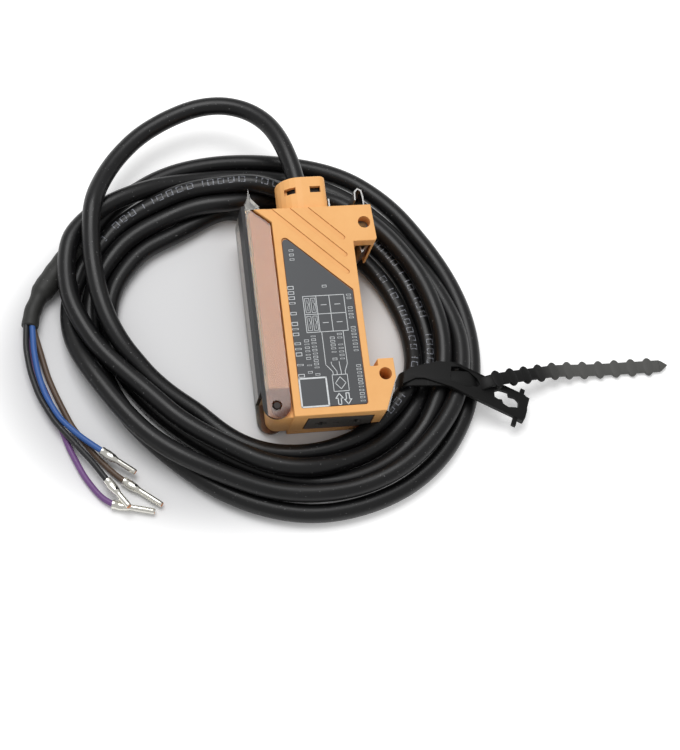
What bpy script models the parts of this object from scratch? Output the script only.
"""Fibre optic amplifier for a 35 mm rail, lying label side up over its own coiled lead.

The housing is modelled in its own frame: X runs from the smoked cover to the rail side, Y from the
fibre ports to the cable gland, Z from the far face to the label face. The empty "stance" then stands
it on the table, with its gland end raised by the coil that passes under it. The lead, its tie and its
loose cores are placed straight on the table. Everything is in metres.
"""
import math

import bmesh
import bpy
from mathutils import Matrix, Vector

# Housing, seen on its label face
BODY_THICKNESS = 0.0164
STEP_X = 0.0077
CORE_FRONT_X = 0.0020
RAIL_FACE_X = 0.0291
TOP_STEP_X = 0.0032
EDGE_SOFTNESS = 0.00025
PIECE_GAP = 0.0003
WALL = 0.0014

# Lugs that hold the 35 mm rail, and the two mounting holes
RAIL_OPENING = 0.0353
LUG_EDGE_X = RAIL_FACE_X + 0.0065
LOWER_LUG_TOP_Y = 0.0142
LOWER_LUG_CHAMFER_Y = 0.0089
LOWER_LUG_FOOT_X = RAIL_FACE_X + 0.0029
NOTCH_WIDTH = 0.0021
NOTCH_DEPTH = 0.0019
UPPER_LUG_HEIGHT = 0.0105
UPPER_LUG_Y = LOWER_LUG_TOP_Y - NOTCH_DEPTH + RAIL_OPENING
BODY_LENGTH = UPPER_LUG_Y + UPPER_LUG_HEIGHT
STEP_DIAGONAL_HEIGHT = 0.0039
STEP_DIAGONAL_Y = BODY_LENGTH - STEP_DIAGONAL_HEIGHT
LUG_WALL = 0.0010
MOUNT_HOLE_RADIUS = 0.0017
HOLE_FROM_END = 0.0051
LOWER_HOLE = (RAIL_FACE_X + 0.0038, 0.0100)
UPPER_HOLE = (RAIL_FACE_X + 0.0036, BODY_LENGTH - HOLE_FROM_END)
LUG_MOUTH_HEIGHT = 0.0042

# The room for the board
ROOM_START_Y = 0.0105
ROOM_END_WALL = 0.0046
ROOM_END_Y = BODY_LENGTH - ROOM_END_WALL

# Lid on the far face
LID_EDGE_X = RAIL_FACE_X - 0.0034
LID_LIP_HEIGHT = 0.0014
LID_LIP_WALL = 0.0010
POST_RADIUS = 0.0011

# Smoked cover and its hinge
COVER_WALL = 0.0010
COVER_INSET = 0.0008
COVER_GAP_TO_STEP = 0.0004
COVER_LIP_REACH = 0.0050
WEB_START_Y = 0.0080
PIVOT = (0.0036, 0.0036)
PIN_RADIUS = 0.0010
CORNER_RADIUS = 0.0032

# Label and grooves
LABEL_LEFT_X = 0.0096
LABEL_RIGHT_X = RAIL_FACE_X - 0.0018
LABEL_BOTTOM_Y = 0.0020
LABEL_TOP_MARGIN = 0.0072
LABEL_DIAGONAL_DROP = 0.0170
LABEL_LEFT_TOP_Y = BODY_LENGTH - LABEL_TOP_MARGIN
LABEL_RIGHT_TOP_Y = LABEL_LEFT_TOP_Y - LABEL_DIAGONAL_DROP
LABEL_RECESS = 0.0004
LABEL_THICKNESS = 0.0003
GROOVE_COUNT = 3
GROOVE_WIDTH = 0.0013
GROOVE_DEPTH = 0.0003
GROOVE_PITCH = 0.0035
GROOVE_END_X = RAIL_FACE_X - 0.0021
FIRST_GROOVE_Y = BODY_LENGTH - 0.0005

# Cable gland
GLAND_LEFT_X = 0.0110
GLAND_WIDTH = 0.0130
GLAND_HEIGHT = 0.0130
GLAND_LENGTH = 0.0098
GLAND_WALL = 0.0013
GLAND_ROUND = 0.0063
GLAND_CORNER = 0.0018
GLAND_ROOT = 0.0012
WINDOW_SIZE = (0.0029, 0.0018)
WINDOW_SPREAD = 0.0067
WINDOW_FROM_END = 0.0039
RELIEF_PROUD = 0.0006
RELIEF_LENGTH = 0.0082

# Fibre ports
PORT_SPACING = 0.0092
PORT_LEFT_X = 0.0157
PORT_PLATE_THICKNESS = 0.0012
PORT_ARM = 0.0016
PORT_ARM_WIDTH = 0.0011
PORT_PLATE_CORNERS = ((0.0113, 0.0038), (0.0298, 0.0030), (0.0294, 0.0130), (0.0116, 0.0137))
FIBRE_BORE_RADIUS = 0.0012
OPTIC_SIDE = 0.0028
OPTIC_HALF_HEIGHT = 0.0038
OPTIC_SEAT_RADIUS = 0.0020
OPTIC_SEAT_DEPTH = 0.0038

# Board and what sits on it
BOARD_THICKNESS = 0.0014
BOARD_LOW_Z = 0.0056
PANEL_MARGIN = 0.0025
PANEL_Y = (ROOM_START_Y + PANEL_MARGIN, ROOM_END_Y - PANEL_MARGIN)
BUTTON_CENTRES_Y = (PANEL_Y[0] + 0.0060, PANEL_Y[0] + 0.0135)
PIPE_CENTRES_Y = (PANEL_Y[1] - 0.0085, PANEL_Y[1] - 0.0045)
BUTTON_SIZE = (0.0050, 0.0040)
BUTTON_PROUD = 0.0005
BUTTON_TRAVEL = 0.0005
BUTTON_STEM_RADIUS = 0.0008
PANEL_THICKNESS = 0.0011
PANEL_HEIGHT = 0.0070

# Spring steel
STEEL = 0.0004
SPRING_WIDTH = 0.0090
FOOT_LEG_UP = 0.0014
FOOT_LEG_LENGTH = 0.0026

# Lead, coil, sleeve and cores
CABLE_RADIUS = 0.0025
COIL_CENTRE = (-0.0100, -0.0020)
COIL_OUTER = 0.0560
COIL_BULGE = 0.0020
COIL_INNER = 0.0455
COIL_INNER_AT_TOP = 0.0361
COIL_ONE_LAYER = 0.0053
COIL_TWO_LAYERS = 0.0092
COIL_STATIONS = 60
COIL_SHOULDER = (0.0034, 0.0028)
SLEEVE_RADIUS = 0.0030
SLEEVE_NECK_RADIUS = 0.0022
CORE_RADIUS = 0.0008
CRIMP_RADIUS = 0.0012
PIN_TIP_RADIUS = 0.00075

# Tie round the coil
TIE_ANGLE = -26.5
TIE_LIFT = 0.0014
TIE_THICKNESS = 0.0010
TIE_WIDTH = 0.0044
LOOP_START = (0.0214, -0.0234)
LOOP_TURN = -4.4
LOOP_REACH = 0.0212
LOOP_SHOULDER = (0.0036, 0.0037)
HEAD_TURN = -24.5
HEAD_BEND = 0.0420
HEAD_TOP = 0.0112
HEAD_THICKNESS = 0.0014
HEAD_SLOPE = 0.28
BEAD_HALF_LENGTH = 0.0018
BEAD_HALF_WIDTH = 0.0026
TAIL_WIDTH = 0.0034

# How the housing lies
LEAN = math.radians(7.0)
MID_Z = BODY_THICKNESS / 2
CORE_LOW_Z = COVER_INSET + COVER_WALL + PIECE_GAP
CORE_HIGH_Z = BODY_THICKNESS - CORE_LOW_Z
SPLIT_Z = CORE_LOW_Z
LID_THICKNESS = SPLIT_Z - PIECE_GAP


def clear_scene():
    for item in list(bpy.data.objects):
        bpy.data.objects.remove(item, do_unlink=True)


def make_material(name, colour, roughness, metallic=0.0, alpha=1.0):
    made = bpy.data.materials.new(name)
    made.use_nodes = True
    shader = made.node_tree.nodes["Principled BSDF"]
    shader.inputs["Base Color"].default_value = (*colour, 1.0)
    shader.inputs["Roughness"].default_value = roughness
    shader.inputs["Metallic"].default_value = metallic
    shader.inputs["Alpha"].default_value = alpha
    made.diffuse_color = (*colour, alpha)
    return made


def new_empty(name, parent=None, location=(0, 0, 0)):
    empty = bpy.data.objects.new(name, None)
    bpy.context.scene.collection.objects.link(empty)
    empty.parent = parent
    empty.location = location
    return empty


def make_object(name, bm, material=None, parent=None, location=(0, 0, 0)):
    """Turn a bmesh into a named object with outward faces."""
    bmesh.ops.recalc_face_normals(bm, faces=bm.faces[:])
    mesh = bpy.data.meshes.new(name)
    bm.to_mesh(mesh)
    bm.free()
    thing = bpy.data.objects.new(name, mesh)
    bpy.context.scene.collection.objects.link(thing)
    thing.parent = parent
    thing.location = location
    if material:
        mesh.materials.append(material)
        mesh.shade_smooth()
        mesh.set_sharp_from_angle(angle=math.radians(30))
    return thing


def as_tool(thing):
    """A cutting or joining body isn't a piece of the product."""
    thing.hide_render = True
    thing.display_type = "WIRE"
    return thing


def combine(target, tool, operation="DIFFERENCE"):
    modifier = target.modifiers.new(tool.name, "BOOLEAN")
    modifier.operation = operation
    modifier.solver = "EXACT"
    modifier.object = as_tool(tool)


def soften(target, width=EDGE_SOFTNESS, segments=2):
    modifier = target.modifiers.new("soft_edges", "BEVEL")
    modifier.width = width
    modifier.segments = segments
    modifier.limit_method = "ANGLE"
    modifier.angle_limit = math.radians(40)


def rectangle(x0, x1, y0, y1):
    return [(x0, y0), (x1, y0), (x1, y1), (x0, y1)]


def round_corner(before, corner, after, radius, steps=4):
    """Points of an arc that replaces one corner of an outline."""
    here = Vector(corner)
    to_before = (Vector(before) - here).normalized()
    to_after = (Vector(after) - here).normalized()
    half = to_before.angle(to_after) / 2
    reach = radius / math.tan(half)
    centre = here + (to_before + to_after).normalized() * (radius / math.sin(half))
    start = here + to_before * reach - centre
    end = here + to_after * reach - centre
    turn = start.angle_signed(end)
    points = []
    for step in range(steps + 1):
        spoke = Matrix.Rotation(-turn * step / steps, 2) @ start
        points.append(tuple(centre + spoke))
    return points


def rounded(outline, radii, steps=4):
    """An outline whose corners are rounded; radii is one value or one for each corner."""
    count = len(outline)
    each = radii if isinstance(radii, (list, tuple)) else [radii] * count
    points = []
    for index, corner in enumerate(outline):
        if each[index] <= 0:
            points.append(corner)
            continue
        before = outline[index - 1]
        after = outline[(index + 1) % count]
        points += round_corner(before, corner, after, each[index], steps)
    return points


def circle(x, y, radius, sides=20):
    angles = [2 * math.pi * step / sides for step in range(sides)]
    return [(x + radius * math.cos(angle), y + radius * math.sin(angle)) for angle in angles]


def add_prism(bm, outline, low, high, axis="Z"):
    """Add a closed prism: the outline in the other two axes, in X, Y, Z order."""
    def place(point, height):
        u, v = point
        if axis == "X":
            return (height, u, v)
        if axis == "Y":
            return (u, height, v)
        return (u, v, height)

    bottom = [bm.verts.new(place(point, low)) for point in outline]
    top = [bm.verts.new(place(point, high)) for point in outline]
    count = len(outline)
    bm.faces.new(bottom)
    bm.faces.new(top)
    for index in range(count):
        after = (index + 1) % count
        bm.faces.new((bottom[index], bottom[after], top[after], top[index]))


def prisms(*solids):
    """A bmesh of separate prisms, each given as outline, low, high and axis."""
    bm = bmesh.new()
    for solid in solids:
        add_prism(bm, *solid)
    return bm


def add_lathe(bm, profile, start, direction, sides=12):
    """Add a body turned round an axis: profile holds (distance along, radius)."""
    along = Vector(direction).normalized()
    frame = along.to_track_quat("Z", "Y").to_matrix()
    rings = []
    for distance, radius in profile:
        centre = Vector(start) + along * distance
        spokes = [frame @ Vector((x, y, 0)) for x, y in circle(0, 0, radius, sides)]
        rings.append([bm.verts.new(centre + spoke) for spoke in spokes])
    bm.faces.new(rings[0])
    bm.faces.new(rings[-1])
    for low, high in zip(rings, rings[1:]):
        for index in range(sides):
            after = (index + 1) % sides
            bm.faces.new((low[index], low[after], high[after], high[index]))


def smooth_route(points, spacing):
    """Evenly spaced points on one smooth curve through the given points."""
    given = [Vector(point) for point in points]
    ends = [given[0] * 2 - given[1]] + given + [given[-1] * 2 - given[-2]]
    fine = []
    for index in range(1, len(ends) - 2):
        a, b, c, d = ends[index - 1:index + 3]
        for step in range(20):
            t = step / 20
            fine.append(0.5 * ((2 * b) + (c - a) * t + (2 * a - 5 * b + 4 * c - d) * t ** 2
                               + (3 * b - a - 3 * c + d) * t ** 3))
    fine.append(given[-1])
    total = sum((after - before).length for before, after in zip(fine, fine[1:]))
    count = max(3, round(total / spacing))
    route = [fine[0]]
    walked = 0.0
    wanted = total / count
    for before, after in zip(fine, fine[1:]):
        walked += (after - before).length
        if walked >= wanted and len(route) < count:
            route.append(after)
            walked -= wanted
    route.append(fine[-1])
    return route


def make_tube(name, points, radius, material, spacing, sides=2, radii=None):
    """A plain round cord along a smooth route, with filled ends."""
    data = bpy.data.curves.new(name, "CURVE")
    data.dimensions = "3D"
    data.bevel_depth = radius
    data.bevel_resolution = sides
    data.use_fill_caps = True
    route = smooth_route(points, spacing)
    spline = data.splines.new("POLY")
    spline.points.add(len(route) - 1)
    for index, place in enumerate(route):
        spline.points[index].co = (*place, 1.0)
        if radii:
            spline.points[index].radius = radii(index / (len(route) - 1))
    data.materials.append(material)
    tube = bpy.data.objects.new(name, data)
    bpy.context.scene.collection.objects.link(tube)
    return tube


def ease(value, low, high):
    """0 below low, 1 above high, smooth between."""
    t = min(max((value - low) / (high - low), 0.0), 1.0)
    return t * t * (3 - 2 * t)


# The outlines that several pieces share
def step_outline(edge_x, inset=0.0):
    """The raised face: straight along the cover, then a diagonal to the top edge."""
    slope = Vector((TOP_STEP_X - STEP_X, BODY_LENGTH - STEP_DIAGONAL_Y)).normalized()
    shift = inset / slope.y
    return [
        (STEP_X + inset, inset),
        (edge_x, inset),
        (edge_x, BODY_LENGTH - inset),
        (TOP_STEP_X + shift, BODY_LENGTH - inset),
        (STEP_X + inset, STEP_DIAGONAL_Y + inset * 0.3),
    ]


def rail_side_outline():
    """The spine with both lugs and the rail recess between them."""
    notch_x = RAIL_FACE_X + NOTCH_WIDTH
    notch_y = LOWER_LUG_TOP_Y - NOTCH_DEPTH
    spine_x = LID_EDGE_X + PIECE_GAP
    return [
        (spine_x, 0.0),
        (LOWER_LUG_FOOT_X, 0.0),
        (LUG_EDGE_X, LOWER_LUG_CHAMFER_Y),
        (LUG_EDGE_X - 0.0001, LOWER_LUG_TOP_Y),
        (notch_x, LOWER_LUG_TOP_Y),
        (notch_x, notch_y),
        (RAIL_FACE_X, notch_y),
        (RAIL_FACE_X, UPPER_LUG_Y),
        (LUG_EDGE_X - 0.0005, UPPER_LUG_Y),
        (LUG_EDGE_X, UPPER_LUG_Y + 0.0006),
        (LUG_EDGE_X - 0.0005, BODY_LENGTH),
        (spine_x, BODY_LENGTH),
    ]


def label_outline(inset=0.0):
    lean_back = inset * 1.5
    corners = [
        (LABEL_LEFT_X + inset, LABEL_BOTTOM_Y + inset),
        (LABEL_RIGHT_X - inset, LABEL_BOTTOM_Y + inset),
        (LABEL_RIGHT_X - inset, LABEL_RIGHT_TOP_Y - lean_back),
        (LABEL_LEFT_X + inset, LABEL_LEFT_TOP_Y - lean_back - inset),
    ]
    return rounded(corners, [0.0006, 0.0006, 0.0002, 0.0010])


def gland_outline(inset=0.0):
    """The boss seen along Y: half round towards the cover, squarer towards the rail."""
    low = MID_Z - GLAND_HEIGHT / 2 + inset
    high = MID_Z + GLAND_HEIGHT / 2 - inset
    left = GLAND_LEFT_X + inset
    right = GLAND_LEFT_X + GLAND_WIDTH - inset
    large = GLAND_ROUND - inset
    small = max(GLAND_CORNER - inset, 0.0003)
    return rounded(rectangle(left, right, low, high), [large, small, small, large], steps=6)


def groove_outline(number):
    """A diagonal channel that runs out of the top edge and ends round beside the spine."""
    down = Vector((1, -1)).normalized()
    across = Vector((1, 1)).normalized()
    start = Vector((STEP_X, FIRST_GROOVE_Y)) + across * GROOVE_PITCH * number
    reach = (GROOVE_END_X - start.x - GROOVE_WIDTH / 2) / down.x
    end = start + down * reach
    outside = start - down * 0.012
    side = across * (GROOVE_WIDTH / 2)
    tip = []
    for step in range(1, 6):
        angle = math.pi * step / 6
        tip.append(tuple(end - side * math.cos(angle) + down * GROOVE_WIDTH / 2 * math.sin(angle)))
    return [tuple(outside - side), tuple(end - side), *tip, tuple(end + side), tuple(outside + side)]


def cross_outline(x, z):
    """A plus-shaped opening, given by its centre on the end face."""
    arm, half = PORT_ARM, PORT_ARM_WIDTH / 2
    quarter = [(arm, half), (half, half), (half, arm)]
    corners = []
    for turn in range(4):
        for point in quarter:
            spun = Matrix.Rotation(math.radians(90 * turn), 2) @ Vector(point)
            corners.append((x + spun.x, z + spun.y))
    return corners


def strip_outline(path, thickness=STEEL):
    """A folded strip seen on its edge: both sides of a path, mitred at the bends."""
    points = [Vector(point) for point in path]
    left, right = [], []
    for index, here in enumerate(points):
        into = (here - points[index - 1]).normalized() if index else None
        out = (points[index + 1] - here).normalized() if index + 1 < len(points) else None
        if into and out:
            along = (into + out).normalized()
            stretch = 1 / max(0.35, math.cos(into.angle(out) / 2))
        else:
            along = into or out
            stretch = 1.0
        side = Vector((-along.y, along.x)) * (thickness / 2 * stretch)
        left.append(tuple(here + side))
        right.append(tuple(here - side))
    return left + right[::-1]


def make_materials():
    return {
        "orange": make_material("orange_moulding", (0.90, 0.42, 0.13), 0.45),
        "label": make_material("label_grey", (0.07, 0.075, 0.08), 0.5),
        "smoke": make_material("smoked_clear", (0.20, 0.19, 0.18), 0.08, alpha=0.35),
        "black": make_material("black_moulding", (0.015, 0.015, 0.016), 0.5),
        "grey": make_material("dark_grey_moulding", (0.06, 0.06, 0.065), 0.5),
        "steel": make_material("spring_steel", (0.62, 0.62, 0.62), 0.25, 1.0),
        "pin": make_material("tinned_contact", (0.75, 0.73, 0.70), 0.3, 1.0),
        "board": make_material("board_green", (0.02, 0.16, 0.06), 0.5),
        "chip": make_material("chip_black", (0.02, 0.02, 0.02), 0.6),
        "cable": make_material("cable_jacket", (0.012, 0.012, 0.013), 0.4),
        "tie": make_material("tie_nylon", (0.01, 0.01, 0.011), 0.55),
        "blue": make_material("core_blue_skin", (0.04, 0.12, 0.38), 0.4),
        "violet": make_material("core_violet_skin", (0.18, 0.07, 0.22), 0.4),
        "brown": make_material("core_brown_skin", (0.10, 0.05, 0.03), 0.4),
        "button": make_material("button_grey", (0.25, 0.25, 0.26), 0.5),
        "amber": make_material("indicator_amber", (0.9, 0.5, 0.05), 0.3),
        "green": make_material("indicator_green", (0.1, 0.6, 0.15), 0.3),
    }


def make_housing_body(mats, stance):
    core_corners = rectangle(CORE_FRONT_X, STEP_X + 0.003, PIVOT[1] - CORNER_RADIUS, BODY_LENGTH)
    core = rounded(core_corners, [CORNER_RADIUS - 0.0004, 0, 0, 0], steps=6)
    raised = step_outline(LID_EDGE_X + 0.002)
    body = make_object(
        "housing_body", prisms((rail_side_outline(), 0.0, BODY_THICKNESS)), mats["orange"], stance
    )
    joined = [
        ("join_raised", prisms((raised, SPLIT_Z, BODY_THICKNESS))),
        ("join_core", prisms((core, CORE_LOW_Z, CORE_HIGH_Z))),
    ]
    for name, bm in joined:
        combine(body, make_object(name, bm, parent=stance), "UNION")
    soften(body)
    end_y = BODY_LENGTH + GLAND_LENGTH
    gland = make_object("join_gland", prisms(
        (gland_outline(), BODY_LENGTH - GLAND_ROOT, end_y, "Y")), parent=stance)
    soften(gland, 0.0005, 3)
    combine(body, gland, "UNION")

    # The room for the board: lower under the cover, full height under the label, open to the lid
    room_y = (ROOM_START_Y, ROOM_END_Y)
    shallow = (CORE_LOW_Z + WALL, CORE_HIGH_Z - WALL)
    roof = BODY_THICKNESS - WALL
    room = [
        (CORE_FRONT_X + WALL, shallow[0]), (STEP_X + WALL, shallow[0]),
        (STEP_X + WALL, WALL), (RAIL_FACE_X - WALL - 0.0008, WALL),
        (RAIL_FACE_X - WALL - 0.0008, roof), (STEP_X + WALL, roof),
        (STEP_X + WALL, shallow[1]), (CORE_FRONT_X + WALL, shallow[1]),
    ]
    combine(body, make_object("cut_room", prisms((room, *room_y, "Y")), parent=stance))

    # The hole for the front panel, the optics' pocket and the seat of the port plate
    half = PANEL_HEIGHT / 2
    panel_hole = rectangle(PANEL_Y[0], PANEL_Y[1], MID_Z - half, MID_Z + half)
    combine(body, make_object("cut_panel", prisms(
        (panel_hole, CORE_FRONT_X - 0.001, CORE_FRONT_X + WALL + 0.001, "X")), parent=stance))
    side = OPTIC_SIDE + PIECE_GAP
    tall = OPTIC_HALF_HEIGHT + PIECE_GAP
    optics = rectangle(PORT_LEFT_X - side, PORT_LEFT_X + PORT_SPACING + side, MID_Z - tall, MID_Z + tall)
    combine(body, make_object("cut_optics", prisms((optics, -0.001, room_y[0] + 0.001, "Y")), parent=stance))
    combine(body, make_object("cut_port_plate", prisms(
        (PORT_PLATE_CORNERS, -0.001, PORT_PLATE_THICKNESS + PIECE_GAP, "Y")), parent=stance))

    # The gland's inside, its two windows and the way through to the board
    combine(body, make_object("cut_gland", prisms(
        (gland_outline(GLAND_WALL), end_y - RELIEF_LENGTH - PIECE_GAP, end_y + 0.001, "Y")), parent=stance))
    gland_x = GLAND_LEFT_X + GLAND_WIDTH / 2
    combine(body, make_object("cut_wire_way", prisms(
        (circle(gland_x, MID_Z, 0.0036), room_y[1] - 0.001, end_y - RELIEF_LENGTH + 0.001, "Y")),
        parent=stance))
    windows = []
    across, along = WINDOW_SIZE
    first_x = gland_x - WINDOW_SPREAD / 2
    for x, y in ((first_x, end_y - WINDOW_FROM_END), (first_x + WINDOW_SPREAD, end_y - WINDOW_FROM_END)):
        windows.append((rectangle(x - across / 2, x + across / 2, y - along / 2, y + along / 2),
                        MID_Z + 0.0035, BODY_THICKNESS))
    combine(body, make_object("cut_windows", prisms(*windows), parent=stance))

    # The label's seat and the grooves beside it
    face = BODY_THICKNESS
    combine(body, make_object("cut_label", prisms(
        (label_outline(), face - LABEL_RECESS, face + 0.001)), parent=stance))
    grooves = [(groove_outline(number), face - GROOVE_DEPTH, face + 0.001) for number in range(GROOVE_COUNT)]
    combine(body, make_object("cut_grooves", prisms(*grooves), parent=stance))

    # Mounting holes, the upper lug's pocket for the rail spring, and the foot spring's slot
    spring_low = MID_Z - SPRING_WIDTH / 2 - PIECE_GAP
    spring_high = MID_Z + SPRING_WIDTH / 2 + PIECE_GAP
    holes = [(circle(*centre, MOUNT_HOLE_RADIUS, 28), -0.001, face + 0.001)
             for centre in (LOWER_HOLE, UPPER_HOLE)]
    combine(body, make_object("cut_mount_holes", prisms(*holes), parent=stance))
    slot_x = spring_path()[0][0]
    slot_y = spring_path()[1][1]
    slot = STEEL / 2 + PIECE_GAP
    pocket = [
        (slot_x - slot, slot_y - slot), (RAIL_FACE_X + LUG_WALL + 0.0001, slot_y - slot),
        (RAIL_FACE_X + LUG_WALL + 0.0001, UPPER_LUG_Y - 0.001), (LUG_EDGE_X - LUG_WALL, UPPER_LUG_Y - 0.001),
        (LUG_EDGE_X - LUG_WALL, BODY_LENGTH + 0.001), (RAIL_FACE_X + LUG_WALL + 0.0001, BODY_LENGTH + 0.001),
        (RAIL_FACE_X + LUG_WALL + 0.0001, slot_y + slot), (slot_x + slot, slot_y + slot),
        (slot_x + slot, BODY_LENGTH + 0.001), (slot_x - slot, BODY_LENGTH + 0.001),
    ]
    combine(body, make_object("cut_spring_pocket", prisms((pocket, spring_low, spring_high)), parent=stance))
    mouth = rectangle(RAIL_FACE_X + LUG_WALL + 0.0001, LUG_EDGE_X - LUG_WALL,
                      UPPER_LUG_Y - 0.001, UPPER_LUG_Y + LUG_MOUTH_HEIGHT)
    combine(body, make_object("cut_lug_mouth", prisms((mouth, -0.001, spring_low + 0.001)), parent=stance))
    foot_slot = strip_outline(foot_leg_path(), STEEL + 2 * PIECE_GAP)
    combine(body, make_object("cut_foot_slot", prisms((foot_slot, spring_low, spring_high)), parent=stance))

    # The hole for the cover's pin
    combine(body, make_object("cut_pin", prisms(
        (circle(*PIVOT, PIN_RADIUS + PIECE_GAP, 16), 0.0, face)), parent=stance))
    return body


def make_housing_lid(mats, stance):
    """A plate with a lip inside the room, and three posts that carry the board."""
    lid = make_object("housing_lid", prisms(
        (step_outline(LID_EDGE_X), 0.0, LID_THICKNESS)), mats["orange"], stance)
    soften(lid)
    near_y = ROOM_START_Y + PIECE_GAP
    far_y = ROOM_END_Y - PIECE_GAP
    outer = rectangle(STEP_X + WALL + PIECE_GAP, LID_EDGE_X - PIECE_GAP, near_y, far_y)
    wall = LID_LIP_WALL
    inner = rectangle(outer[0][0] + wall, outer[1][0] - wall, near_y + wall, far_y - wall)
    top = LID_THICKNESS + LID_LIP_HEIGHT
    lip = make_object("join_lip", prisms((outer, LID_THICKNESS / 2, top)), parent=stance)
    combine(lid, lip, "UNION")
    combine(lid, make_object("cut_lip", prisms((inner, LID_THICKNESS, top + 0.001)), parent=stance))
    post_top = BOARD_LOW_Z - PIECE_GAP
    posts = [(circle(x, y, POST_RADIUS, 12), LID_THICKNESS / 2, post_top)
             for x, y in ((0.0130, near_y + 0.0052), (0.0230, near_y + 0.0212), (0.0130, far_y - 0.0052))]
    combine(lid, make_object("join_posts", prisms(*posts), parent=stance), "UNION")
    gland_room = rectangle(GLAND_LEFT_X - PIECE_GAP, GLAND_LEFT_X + GLAND_WIDTH + PIECE_GAP,
                           BODY_LENGTH - GLAND_ROOT - PIECE_GAP, BODY_LENGTH + 0.001)
    combine(lid, make_object("cut_gland_room", prisms(
        (gland_room, MID_Z - GLAND_HEIGHT / 2 - PIECE_GAP, LID_THICKNESS + 0.001)), parent=stance))


def make_label(mats, stance):
    low = BODY_THICKNESS - LABEL_RECESS + 0.00005
    make_object("label_plate", prisms(
        (label_outline(0.0002), low, low + LABEL_THICKNESS)), mats["label"], stance)


def cover_outline():
    """One flange of the cover, with its ear round the pin."""
    edge_x = STEP_X - COVER_GAP_TO_STEP
    slope = (BODY_LENGTH - STEP_DIAGONAL_Y) / (STEP_X - TOP_STEP_X)
    x, y = PIVOT
    ear = []
    for step in range(0, 13):
        angle = math.radians(-180 * step / 12)
        ear.append((x + x * math.cos(angle), y + y * math.sin(angle)))
    top_y = BODY_LENGTH + PIECE_GAP
    diagonal_y = STEP_DIAGONAL_Y - COVER_GAP_TO_STEP * 0.4
    return ear[::-1] + [(edge_x, WEB_START_Y - 0.0006), (edge_x, diagonal_y),
                        (edge_x - (top_y - diagonal_y) / slope, top_y), (0.0, top_y)]


def make_cover(mats, stance):
    """A U-channel: web, two flanges with ears, and an end wall with a thumb lip."""
    hinge = new_empty("cover_hinge", stance, (*PIVOT, MID_Z))
    back = (-PIVOT[0], -PIVOT[1], -MID_Z)
    low = COVER_INSET
    high = BODY_THICKNESS - COVER_INSET
    cover = make_object("flip_cover", prisms((cover_outline(), low, high)), mats["smoke"], hinge, back)
    end_y = BODY_LENGTH + PIECE_GAP
    wall_y = end_y + COVER_WALL
    end_wall = [(0.0, end_y - 0.001), (COVER_WALL, end_y - 0.001), (COVER_WALL, end_y),
                (0.0050, end_y), (0.0044, wall_y), (0.0, wall_y)]
    lip = [(0.0006, wall_y - 0.0003), (0.0050, wall_y - 0.0003), (0.0028, wall_y + COVER_LIP_REACH * 0.45),
           (0.0024, wall_y + COVER_LIP_REACH), (0.0018, wall_y + COVER_LIP_REACH * 0.4)]
    # The room between the flanges is cut out first, so the end wall stays whole
    inside = rectangle(COVER_WALL, STEP_X + 0.001, -0.001, end_y + 0.0005)
    combine(cover, make_object("cut_cover_room", prisms(
        (inside, low + COVER_WALL, high - COVER_WALL)), parent=hinge, location=back))
    gap_low = rectangle(-0.001, COVER_WALL + 0.0005, -0.001, WEB_START_Y)
    combine(cover, make_object("cut_cover_foot", prisms(
        (gap_low, low + COVER_WALL, high - COVER_WALL)), parent=hinge, location=back))
    combine(cover, make_object("join_end_wall", prisms(
        (end_wall, low, high)), parent=hinge, location=back), "UNION")
    combine(cover, make_object("join_lip_tab", prisms(
        (lip, high - 0.0030, high)), parent=hinge, location=back), "UNION")
    combine(cover, make_object("cut_cover_pin", prisms(
        (circle(*PIVOT, PIN_RADIUS + PIECE_GAP, 16), 0.0, BODY_THICKNESS)), parent=hinge, location=back))
    pin = bmesh.new()
    add_lathe(pin, [(0, PIN_RADIUS - 0.0002), (0.0002, PIN_RADIUS), (high - low - 0.0004, PIN_RADIUS),
                    (high - low - 0.0002, PIN_RADIUS - 0.0002)], (*PIVOT, low + 0.0001), (0, 0, 1), 16)
    make_object("hinge_pin", pin, mats["steel"], stance)


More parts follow.
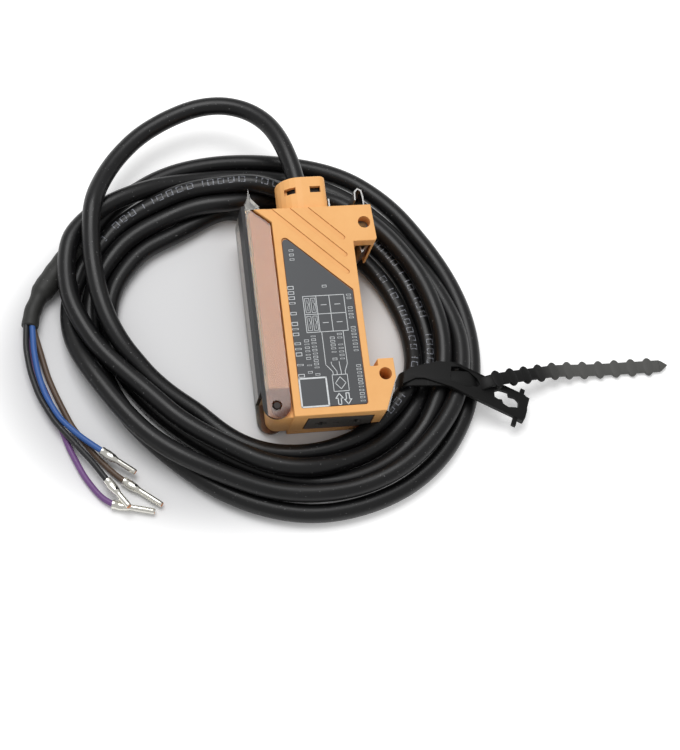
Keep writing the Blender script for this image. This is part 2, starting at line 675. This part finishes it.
def make_ports(mats, stance):
    """The port plate, the block behind it, and the emitter and receiver at its back."""
    shrink = PIECE_GAP
    middle = Vector((sum(x for x, z in PORT_PLATE_CORNERS) / 4, sum(z for x, z in PORT_PLATE_CORNERS) / 4))
    corners = []
    for x, z in PORT_PLATE_CORNERS:
        corners.append((x + math.copysign(shrink, middle.x - x), z + math.copysign(shrink, middle.y - z)))
    plate = make_object("fibre_port_plate", prisms(
        (rounded(corners, 0.0006), 0.0, PORT_PLATE_THICKNESS, "Y")), mats["grey"], stance)
    centres = [PORT_LEFT_X, PORT_LEFT_X + PORT_SPACING]
    ports = [(cross_outline(x, MID_Z), -0.001, PORT_PLATE_THICKNESS + 0.001, "Y") for x in centres]
    bar_x = PORT_LEFT_X + PORT_SPACING * 0.45
    ports.append((rectangle(bar_x - 0.0009, bar_x + 0.0009, MID_Z - 0.0003, MID_Z + 0.0003),
                  -0.001, PORT_PLATE_THICKNESS + 0.001, "Y"))
    combine(plate, make_object("cut_ports", prisms(*ports), parent=stance))

    near_y = PORT_PLATE_THICKNESS + 2 * PIECE_GAP
    far_y = ROOM_START_Y - PIECE_GAP
    block_outline = rectangle(PORT_LEFT_X - OPTIC_SIDE, PORT_LEFT_X + PORT_SPACING + OPTIC_SIDE,
                              MID_Z - OPTIC_HALF_HEIGHT, MID_Z + OPTIC_HALF_HEIGHT)
    seat_y = far_y - OPTIC_SEAT_DEPTH
    block = make_object("optic_block", prisms((block_outline, near_y, far_y, "Y")), mats["black"], stance)
    bores = [(circle(x, MID_Z, FIBRE_BORE_RADIUS, 16), near_y - 0.001, seat_y + 0.0003, "Y") for x in centres]
    combine(block, make_object("cut_fibre_bores", prisms(*bores), parent=stance))
    seats = [(circle(x, MID_Z, OPTIC_SEAT_RADIUS, 16), seat_y, far_y + 0.001, "Y") for x in centres]
    combine(block, make_object("cut_seats", prisms(*seats), parent=stance))
    lamps = (("emitter_led", centres[0], mats["button"]), ("receiver_diode", centres[1], mats["black"]))
    for name, x, material in lamps:
        part = bmesh.new()
        add_lathe(part, [(0, 0.0008), (0.0006, 0.0014), (0.0030, 0.0016), (0.0031, 0.0017), (0.0042, 0.0017)],
                  (x, seat_y + PIECE_GAP, MID_Z), (0, 1, 0), 16)
        make_object(name, part, material, stance)


def make_relief(mats, stance):
    end_y = BODY_LENGTH + GLAND_LENGTH
    outline = gland_outline(GLAND_WALL + PIECE_GAP)
    relief = make_object("strain_relief", prisms(
        (outline, end_y - RELIEF_LENGTH, end_y + RELIEF_PROUD, "Y")), mats["black"], stance)
    gland_x = GLAND_LEFT_X + GLAND_WIDTH / 2
    combine(relief, make_object("cut_relief_bore", prisms(
        (circle(gland_x, MID_Z, CABLE_RADIUS + PIECE_GAP, 16), end_y - RELIEF_LENGTH - 0.001,
         end_y + RELIEF_PROUD + 0.001, "Y")), parent=stance))


def make_front(mats, stance):
    """The panel under the cover, its two buttons and its two indicator windows."""
    half = PANEL_HEIGHT / 2 - PIECE_GAP
    panel_x = CORE_FRONT_X + 0.0002
    outline = rectangle(PANEL_Y[0] + PIECE_GAP, PANEL_Y[1] - PIECE_GAP, MID_Z - half, MID_Z + half)
    panel = make_object("front_panel", prisms(
        (rounded(outline, 0.0004), panel_x, panel_x + PANEL_THICKNESS, "X")), mats["black"], stance)
    across, tall = BUTTON_SIZE
    gap = PIECE_GAP
    holes = []
    for y in BUTTON_CENTRES_Y:
        hole = rectangle(y - across / 2 - gap, y + across / 2 + gap,
                         MID_Z - tall / 2 - gap, MID_Z + tall / 2 + gap)
        holes.append((rounded(hole, 0.0012), 0.0, 0.006, "X"))
    for y in PIPE_CENTRES_Y:
        hole = rectangle(y - 0.0009 - gap, y + 0.0009 + gap, MID_Z - 0.0015 - gap, MID_Z + 0.0015 + gap)
        holes.append((rounded(hole, 0.0004), 0.0, 0.006, "X"))
    combine(panel, make_object("cut_panel_holes", prisms(*holes), parent=stance))

    switch_x = CORE_FRONT_X - BUTTON_PROUD + 0.0046 + BUTTON_TRAVEL + 0.0001
    for name, y in zip(("on", "off"), BUTTON_CENTRES_Y):
        cap = rounded(rectangle(-across / 2, across / 2, -tall / 2, tall / 2), 0.0010)
        button = make_object("teach_button_" + name, prisms((cap, 0.0, 0.0019, "X")), mats["button"],
                             stance, (CORE_FRONT_X - BUTTON_PROUD, y, MID_Z))
        soften(button, 0.0002)
        stem = make_object("join_stem_" + name, prisms(
            (circle(0, 0, BUTTON_STEM_RADIUS, 12), 0.0010, 0.0046, "X")),
            parent=stance, location=button.location)
        combine(button, stem, "UNION")
        body = rectangle(y - 0.0022, y + 0.0022, BOARD_LOW_Z + BOARD_THICKNESS + gap, MID_Z + 0.0018)
        switch = make_object("button_switch_" + name, prisms((body, switch_x + 0.0007, switch_x + 0.0034, "X")),
                             mats["chip"], stance)
        plunger = make_object("join_plunger_" + name, prisms(
            (circle(y, MID_Z, 0.0008, 12), switch_x, switch_x + 0.0010, "X")), parent=stance)
        combine(switch, plunger, "UNION")

    for name, y, material in (("power", PIPE_CENTRES_Y[0], mats["green"]), ("signal", PIPE_CENTRES_Y[1], mats["amber"])):
        pipe = rectangle(y - 0.0009, y + 0.0009, MID_Z - 0.0015, MID_Z + 0.0015)
        make_object("light_pipe_" + name, prisms(
            (rounded(pipe, 0.0003), CORE_FRONT_X, CORE_FRONT_X + 0.0036, "X")), material, stance)
        lamp = rectangle(y - 0.0008, y + 0.0008, BOARD_LOW_Z + BOARD_THICKNESS + gap, MID_Z + 0.0010)
        make_object("indicator_" + name, prisms(
            (lamp, CORE_FRONT_X + 0.0039, CORE_FRONT_X + 0.0055, "X")), mats["button"], stance)


def make_board(mats, stance):
    near_y = ROOM_START_Y + PIECE_GAP
    outline = rectangle(CORE_FRONT_X + 0.0038, RAIL_FACE_X - WALL - 0.0011, near_y + 0.0005, ROOM_END_Y - PIECE_GAP)
    top = BOARD_LOW_Z + BOARD_THICKNESS
    make_object("circuit_board", prisms((outline, BOARD_LOW_Z, top)), mats["board"], stance)
    chip_low = top + PIECE_GAP
    make_object("controller_chip", prisms(
        (rectangle(0.0130, 0.0190, near_y + 0.0152, near_y + 0.0212), chip_low, chip_low + 0.0010)), mats["chip"], stance)
    make_object("output_chip", prisms(
        (rectangle(0.0150, 0.0190, near_y + 0.0292, near_y + 0.0342), chip_low, chip_low + 0.0014)), mats["chip"], stance)


def spring_path():
    """The rail spring on its edge: anchor beside the gland, nose in the recess, hairpin over the lug."""
    anchor_x = GLAND_LEFT_X + GLAND_WIDTH + 0.0006
    inner_x = RAIL_FACE_X + LUG_WALL + PIECE_GAP + STEEL / 2 + 0.0001
    outer_x = LUG_EDGE_X - LUG_WALL - PIECE_GAP - STEEL / 2
    shelf_y = BODY_LENGTH - 0.0026
    return [
        (anchor_x, BODY_LENGTH + 0.0038), (anchor_x, shelf_y), (inner_x, shelf_y),
        (inner_x + 0.0007, UPPER_LUG_Y + 0.0002), (inner_x + 0.0012, UPPER_LUG_Y - 0.0016),
        (outer_x, UPPER_LUG_Y + 0.0006), (outer_x, BODY_LENGTH + 0.0040),
        (outer_x - 0.0003, BODY_LENGTH + 0.0058), (outer_x - 0.0012, BODY_LENGTH + 0.0063),
        (outer_x - 0.0021, BODY_LENGTH + 0.0054), (outer_x - 0.0022, BODY_LENGTH + 0.0030),
    ]


def foot_spring_path():
    """The leaf along the lower lug's chamfer, with a leg pressed in square to it."""
    chamfer = Vector((LUG_EDGE_X - LOWER_LUG_FOOT_X, LOWER_LUG_CHAMFER_Y)).normalized()
    out = Vector((chamfer.y, -chamfer.x))
    lift = out * (PIECE_GAP + STEEL / 2)
    top = Vector((LUG_EDGE_X, LOWER_LUG_CHAMFER_Y)) + lift - chamfer * 0.0005
    foot = Vector((LOWER_LUG_FOOT_X, 0.0)) + lift + chamfer * FOOT_LEG_UP
    return [tuple(top), tuple(foot), tuple(foot - out * FOOT_LEG_LENGTH)]


def foot_leg_path():
    """The way into the lug for the leaf's leg, a little longer at both ends."""
    foot, end = (Vector(point) for point in foot_spring_path()[1:])
    inward = (end - foot).normalized()
    return [tuple(foot - inward * 0.001), tuple(end + inward * PIECE_GAP)]


def make_springs(mats, stance):
    low = MID_Z - SPRING_WIDTH / 2
    high = MID_Z + SPRING_WIDTH / 2
    make_object("rail_spring", prisms((strip_outline(spring_path()), low, high)), mats["steel"], stance)
    make_object("foot_spring", prisms((strip_outline(foot_spring_path()), low, high)), mats["steel"], stance)


# The lead's route from the gland to the coil, as laid on the table
LEAD_ROUTE = [
    (-0.0006, 0.0347, 0.0165), (-0.0011, 0.0386, 0.0169), (-0.0036, 0.0463, 0.0169),
    (-0.0073, 0.0542, 0.0154), (-0.0125, 0.0612, 0.0129), (-0.0194, 0.0655, 0.0100),
    (-0.0270, 0.0660, 0.0076), (-0.0361, 0.0627, 0.0060), (-0.0442, 0.0580, 0.0055),
    (-0.0510, 0.0503, 0.0061), (-0.0556, 0.0414, 0.0075), (-0.0580, 0.0320, 0.0083),
    (-0.0584, 0.0206, 0.0084), (-0.0573, 0.0101, 0.0084), (-0.0552, 0.0006, 0.0083),
    (-0.0512, -0.0078, 0.0080), (-0.0464, -0.0149, 0.0060), (-0.0399, -0.0213, 0.0038),
    (-0.0335, -0.0264, 0.0028), (-0.0272, -0.0312, 0.0025), (-0.0189, -0.0364, 0.0025),
    (-0.0102, -0.0402, 0.0025), (-0.0008, -0.0418, 0.0025), (0.0079, -0.0406, 0.0025),
    (0.0126, -0.0382, 0.0025), (0.0174, -0.0347, 0.0025), (0.0210, -0.0310, 0.0030),
    (0.0233, -0.0280, 0.0036), (0.0260, -0.0229, 0.0042), (0.0275, -0.0171, 0.0041),
    (0.0281, -0.0101, 0.0030), (0.0278, -0.0040, 0.0026),
]

# From the coil's far side to the sleeve
TAIL_ROUTE = [
    (-0.0509, 0.0434, 0.0025), (-0.0551, 0.0393, 0.0025), (-0.0588, 0.0349, 0.0026),
    (-0.0620, 0.0304, 0.0029), (-0.0648, 0.0261, 0.0033),
]
SLEEVE_ROUTE = [(-0.0661, 0.0242, 0.0033), (-0.0704, 0.0182, 0.0033), (-0.0738, 0.0115, 0.0032),
                (-0.0749, 0.0020, 0.0030)]

CORE_ROUTES = {
    "blue": [(-0.0740, 0.0017, 0.0039), (-0.0744, -0.0054, 0.0040), (-0.0739, -0.0120, 0.0036),
             (-0.0724, -0.0182, 0.0032), (-0.0692, -0.0250, 0.0030), (-0.0642, -0.0306, 0.0031),
             (-0.0590, -0.0351, 0.0032)],
    "black": [(-0.0758, 0.0017, 0.0039), (-0.0768, -0.0040, 0.0038), (-0.0764, -0.0110, 0.0034),
              (-0.0748, -0.0180, 0.0029), (-0.0713, -0.0253, 0.0028), (-0.0668, -0.0312, 0.0028),
              (-0.0619, -0.0376, 0.0029), (-0.0583, -0.0434, 0.0031)],
    "violet": [(-0.0758, 0.0017, 0.0021), (-0.0751, -0.0050, 0.0014), (-0.0737, -0.0120, 0.0009),
               (-0.0719, -0.0190, 0.00085), (-0.0700, -0.0260, 0.00085), (-0.0683, -0.0330, 0.00085),
               (-0.0652, -0.0408, 0.00085), (-0.0614, -0.0463, 0.0009), (-0.0594, -0.0482, 0.0011),
               (-0.0573, -0.0491, 0.0013)],
    "brown": [(-0.0740, 0.0017, 0.0021), (-0.0728, -0.0050, 0.0012), (-0.0714, -0.0120, 0.00085),
              (-0.0694, -0.0182, 0.00085), (-0.0661, -0.0268, 0.00085), (-0.0605, -0.0357, 0.00085),
              (-0.0563, -0.0409, 0.0010), (-0.0539, -0.0431, 0.0013)],
}
PIN_TIPS = {
    "blue": (-0.0513, -0.0416, 0.0020),
    "black": (-0.0535, -0.0509, 0.0034),
    "violet": (-0.0470, -0.0519, 0.0012),
    "brown": (-0.0450, -0.0503, 0.0012),
}


def make_coil(mats):
    """The outer shape of five turns: wide and flat under the gland, narrow and two deep at the tie."""
    side = CABLE_RADIUS * 0.55
    bm = bmesh.new()
    rings = []
    for station in range(COIL_STATIONS):
        angle = 360.0 * station / COIL_STATIONS
        wrapped = angle if angle < 260 else angle - 360
        spread = ease(wrapped, -14, 12) * (1 - ease(wrapped, 150, 188))
        inner = COIL_INNER + (COIL_INNER_AT_TOP - COIL_INNER) * spread
        stacked = 1 - ease(wrapped, -14, 16) if wrapped < 90 else ease(wrapped, 202, 228)
        height = COIL_ONE_LAYER + (COIL_TWO_LAYERS - COIL_ONE_LAYER) * stacked
        lift = TIE_LIFT * (1 - ease(abs(wrapped - TIE_ANGLE), 7, 16))
        reach, fall = COIL_SHOULDER[0] * stacked, COIL_SHOULDER[1] * stacked
        outer = COIL_OUTER + COIL_BULGE * ease(wrapped, 92, 112) * (1 - ease(wrapped, 156, 176))
        profile = [
            (inner, lift + side), (inner + side, lift), (outer - side, lift), (outer, lift + side),
            (outer, height - side - fall), (outer - side - reach, height),
            (inner + side, height), (inner, height - side),
        ]
        ring = []
        for radius, z in profile:
            turn = math.radians(angle)
            ring.append(bm.verts.new((COIL_CENTRE[0] + radius * math.cos(turn),
                                      COIL_CENTRE[1] + radius * math.sin(turn), z)))
        rings.append(ring)
    for station, ring in enumerate(rings):
        following = rings[(station + 1) % COIL_STATIONS]
        for index in range(len(ring)):
            after = (index + 1) % len(ring)
            bm.faces.new((ring[index], ring[after], following[after], following[index]))
    make_object("cable_coil", bm, mats["cable"])


def make_contact(name, start, tip, material):
    """A crimped contact: barrel round the core, waist, then the turned pin."""
    bm = bmesh.new()
    length = (Vector(tip) - Vector(start)).length
    add_lathe(bm, [(0.0, CRIMP_RADIUS * 0.9), (0.0002, CRIMP_RADIUS), (0.0030, CRIMP_RADIUS),
                   (0.0036, PIN_TIP_RADIUS * 1.1), (0.0040, PIN_TIP_RADIUS), (length - 0.0004, PIN_TIP_RADIUS),
                   (length, PIN_TIP_RADIUS * 0.75)], start, Vector(tip) - Vector(start), 10)
    make_object(name, bm, material)


def make_cords(mats):
    make_tube("cable_lead", LEAD_ROUTE, CABLE_RADIUS, mats["cable"], 0.009, 3)
    make_coil(mats)
    make_tube("cable_tail", TAIL_ROUTE, CABLE_RADIUS, mats["cable"], 0.006, 3)
    step = (SLEEVE_NECK_RADIUS / SLEEVE_RADIUS)
    make_tube("end_sleeve", SLEEVE_ROUTE, SLEEVE_RADIUS, mats["black"], 0.0024, 3,
              radii=lambda share: 1.0 + (step - 1.0) * ease(share, 0.58, 0.74))
    skins = {"blue": "blue", "violet": "violet", "brown": "brown", "black": "cable"}
    for name, route in CORE_ROUTES.items():
        make_tube("core_" + name, route, CORE_RADIUS, mats[skins[name]], 0.004)
        last = Vector(route[-1])
        along = (Vector(PIN_TIPS[name]) - last).normalized()
        make_contact("pin_" + name, last + along * PIECE_GAP, PIN_TIPS[name], mats["pin"])


def placed(bm, matrix):
    bmesh.ops.transform(bm, matrix=matrix, verts=bm.verts[:])
    return bm


# The tie's head seen from above: along the head from its bend, and across it
PAD_OUTLINE = [
    (-0.0133, -0.0108), (-0.0127, -0.0144), (-0.0099, -0.0116), (-0.0078, -0.0108), (0.0003, -0.0107),
    (0.0003, -0.0034), (-0.0022, -0.0036), (-0.0059, -0.0049), (-0.0089, -0.0069), (-0.0117, -0.0088),
]
FRAME_OUTLINE = [
    (-0.0003, -0.0107), (0.0193, -0.0106), (0.0209, -0.0107), (0.0219, -0.0096), (0.0219, -0.0072),
    (0.0211, -0.0036), (0.0201, -0.0031), (-0.0003, -0.0034),
]
SLOT_OUTLINE = [
    (-0.0017, -0.0050), (-0.0010, -0.0091), (0.0026, -0.0084), (0.0047, -0.0079), (0.0066, -0.0074),
    (0.0074, -0.0064), (0.0060, -0.0051), (0.0031, -0.0042), (0.0004, -0.0042),
]
KEYHOLE_OUTLINE = [
    (0.0115, -0.0062), (0.0121, -0.0077), (0.0132, -0.0079), (0.0142, -0.0075), (0.0150, -0.0085),
    (0.0166, -0.0087), (0.0183, -0.0079), (0.0193, -0.0076), (0.0189, -0.0057), (0.0176, -0.0052),
    (0.0158, -0.0056), (0.0153, -0.0046), (0.0140, -0.0048), (0.0127, -0.0051),
]

# The tie's tail in two straight stretches: start, turn, height along it, and where its beads are
TAIL_STRETCHES = [
    ((0.0416, -0.0262), 11.1,
     [(0.0, 0.0076), (0.0010, 0.0089), (0.0027, 0.0099), (0.0055, 0.0097), (0.0098, 0.0085), (0.0145, 0.0069),
      (0.0194, 0.0054), (0.0250, 0.0038)],
     [0.0055, 0.0102, 0.0150, 0.0197, 0.0244]),
    ((0.0655, -0.0213), 1.0,
     [(0.0, 0.0040), (0.0049, 0.0026), (0.0094, 0.0018), (0.0139, 0.0013), (0.0185, 0.0010), (0.0318, 0.0009)],
     [0.0049, 0.0094, 0.0139, 0.0184, 0.0229, 0.0274]),
]
TAIL_TIP = [(0.0312, -0.0017), (0.0325, -0.0015), (0.0336, 0.0), (0.0325, 0.0015), (0.0312, 0.0017)]


def turned(place, degrees, slope=0.0):
    """A frame on the table: moved, turned about Z, and sheared down along its own X."""
    turn = math.radians(degrees)
    return Matrix(((math.cos(turn), -math.sin(turn), 0, place[0]), (math.sin(turn), math.cos(turn), 0, place[1]),
                   (-slope, 0, 1, place[2]), (0, 0, 0, 1)))


def add_to_tie(tie, name, frame, *solids, operation="UNION"):
    combine(tie, make_object(name, placed(prisms(*solids), frame)), operation)


def make_tie(mats):
    """One moulding: the loop round the coil, the slotted head plate and the beaded tail."""
    low, high = TIE_THICKNESS + 0.0001, COIL_TWO_LAYERS + PIECE_GAP
    t, half = TIE_THICKNESS, TIE_WIDTH / 2
    end, (back, drop) = LOOP_REACH, LOOP_SHOULDER
    hole = rounded([(0, low), (end, low), (end, high - drop), (end - back, high), (0, high)],
                   [0.0012, 0.0009, 0.0006, 0.0010, 0.0014])
    band = rounded([(-t, low - t), (end + t, low - t), (end + t, high - drop + t * 0.4),
                    (end - back + t * 0.4, high + t), (-t, high + t)], [0.0020, 0.0016, 0.0010, 0.0016, 0.0022])
    across = turned((*LOOP_START, 0.0), LOOP_TURN)
    tie = make_object("cable_tie", placed(prisms((band, -half, half, "Y")), across), mats["tie"])
    add_to_tie(tie, "cut_tie_hole", across, (hole, -half - 0.004, half + 0.004, "Y"), operation="DIFFERENCE")

    # The head: a flat pad on top of the loop, then a frame that slopes down outside it
    turn = math.radians(HEAD_TURN)
    bend = (HEAD_BEND * math.cos(turn), HEAD_BEND * math.sin(turn), HEAD_TOP)
    flat, sloping = turned(bend, HEAD_TURN), turned(bend, HEAD_TURN, HEAD_SLOPE)
    add_to_tie(tie, "join_pad", flat, (PAD_OUTLINE, -HEAD_THICKNESS, 0.0))
    add_to_tie(tie, "join_frame", sloping, (FRAME_OUTLINE, -HEAD_THICKNESS, 0.0))
    add_to_tie(tie, "join_end_block", sloping, (rectangle(0.0197, 0.0217, -0.0105, -0.0033), -0.0024, -0.0002))
    add_to_tie(tie, "join_posts", sloping, (rectangle(0.0186, 0.0199, -0.0129, -0.0016), -0.0016, -0.0003))
    add_to_tie(tie, "cut_slot", sloping, (SLOT_OUTLINE, -0.0021, 0.002), operation="DIFFERENCE")
    add_to_tie(tie, "cut_keyhole", sloping, (KEYHOLE_OUTLINE, -0.004, 0.002), operation="DIFFERENCE")

    # The tail leaves the loop through the slot and lies down on the table
    width = TAIL_WIDTH / 2
    oval = [(BEAD_HALF_LENGTH * u, BEAD_HALF_WIDTH * v) for u, v in circle(0, 0, 1.0, 14)]
    for number, (place, degrees, path, runs) in enumerate(TAIL_STRETCHES):
        along = turned((*place, 0.0), degrees)
        add_to_tie(tie, f"join_tail_{number}", along, (strip_outline(path, t), -width, width, "Y"))
        for run in runs:
            x0, z0, x1, z1 = next((*a, *b) for a, b in zip(path, path[1:]) if a[0] <= run <= b[0])
            slope = (z0 - z1) / (x1 - x0)
            spot = along @ Matrix.Translation((run, 0, z0 - slope * (run - x0)))
            tilted = spot @ Matrix.Rotation(math.atan(slope), 4, "Y")
            add_to_tie(tie, f"join_bead_{number}", tilted, (oval, -t * 0.6, t * 0.6))
    add_to_tie(tie, "join_tip", along, (TAIL_TIP, 0.0009 - t / 2, 0.0009 + t / 2))


def stance_place():
    """Centre the housing over the origin: its ends are the two springs' outlines and the relief."""
    foot = strip_outline(foot_spring_path())
    right_x = max(x for x, y in foot)
    foot_y = min(y for x, y in foot) * math.cos(LEAN) - (MID_Z + SPRING_WIDTH / 2) * math.sin(LEAN)
    front_y = min(foot_y, -BODY_THICKNESS * math.sin(LEAN))
    relief_end = BODY_LENGTH + GLAND_LENGTH + RELIEF_PROUD
    relief_low = MID_Z - GLAND_HEIGHT / 2 + GLAND_WALL + PIECE_GAP
    back_y = relief_end * math.cos(LEAN) - relief_low * math.sin(LEAN)
    return (-right_x / 2, -(front_y + back_y) / 2, 0.0)


def build():
    clear_scene()
    mats = make_materials()
    stance = new_empty("stance")
    stance.rotation_euler = (LEAN, 0, 0)
    stance.location = stance_place()
    make_housing_body(mats, stance)
    make_housing_lid(mats, stance)
    make_label(mats, stance)
    make_cover(mats, stance)
    make_ports(mats, stance)
    make_relief(mats, stance)
    make_front(mats, stance)
    make_board(mats, stance)
    make_springs(mats, stance)
    make_cords(mats)
    make_tie(mats)
    bpy.context.view_layer.update()


build()
